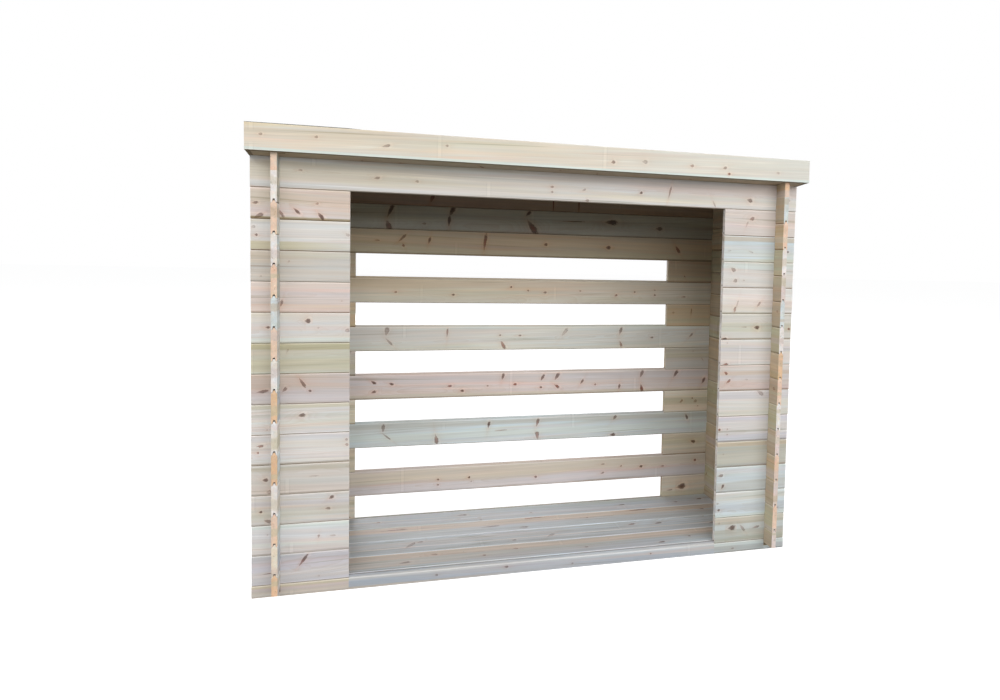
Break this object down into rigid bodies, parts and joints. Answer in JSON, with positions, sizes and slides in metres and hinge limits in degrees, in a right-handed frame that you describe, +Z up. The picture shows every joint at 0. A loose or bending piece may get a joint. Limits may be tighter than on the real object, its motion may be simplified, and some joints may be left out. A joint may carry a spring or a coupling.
{
  "type": "log store",
  "caption": "Open-fronted garden log store of interlocking machined timber logs, with a slatted back wall, a board floor and a felted pent roof behind a deep fascia",
  "frame": {"origin": "on the ground, at the centre of the footprint", "axes": "X along the length, -Y the open front, Z up"},
  "size_m": [2.238, 0.855, 1.7468],
  "materials": {
    "front_logs": "planed pressure-treated softwood, pale greenish to pinkish tan, fine knots",
    "side_logs": "planed pressure-treated softwood with sawn end grain, whitish to peach",
    "back_logs": "planed pressure-treated softwood, greenish grey to pink brown",
    "floor_timber": "planed pressure-treated softwood, blue-grey with brown stripes",
    "roof_timber": "sawn softwood, unlit brown",
    "trim_timber": "planed pressure-treated softwood, cream with a greenish tint",
    "roofing_felt": "mineral-surfaced bitumen felt, dark grey-green"
  },
  "bodies": {
    "root": {"front_sill_log": "front_logs", "front_short_logs_a": "front_logs", "front_short_logs_b": "front_logs", "front_lintel_log": "front_logs", "back_sill_log": "back_logs", "back_short_logs": "back_logs", "back_slat_logs": "back_logs", "back_closed_log_1": "back_logs", "back_closed_log_2": "back_logs", "back_top_log": "back_logs", "side_logs_foot": "side_logs", "side_logs_01": "side_logs", "side_logs_02": "side_logs", "side_logs_03": "side_logs", "side_logs_04": "side_logs", "side_logs_05": "side_logs", "side_logs_06": "side_logs", "side_logs_07": "side_logs", "side_logs_08": "side_logs", "side_logs_09": "side_logs", "side_logs_10": "side_logs", "side_logs_11": "side_logs", "side_logs_12": "side_logs", "side_logs_13": "side_logs", "side_logs_top": "side_logs", "floor_bearers": "floor_timber", "floor_boards": "floor_timber", "roof_bearer_front": "roof_timber", "roof_bearer_middle": "roof_timber", "roof_bearer_rear": "roof_timber", "roof_deck": "roof_timber", "roof_felt": "roofing_felt", "fascia_front": "trim_timber", "fascia_rear": "trim_timber", "barge_board_left": "trim_timber", "barge_board_right": "trim_timber"}
  },
  "joints": []
}
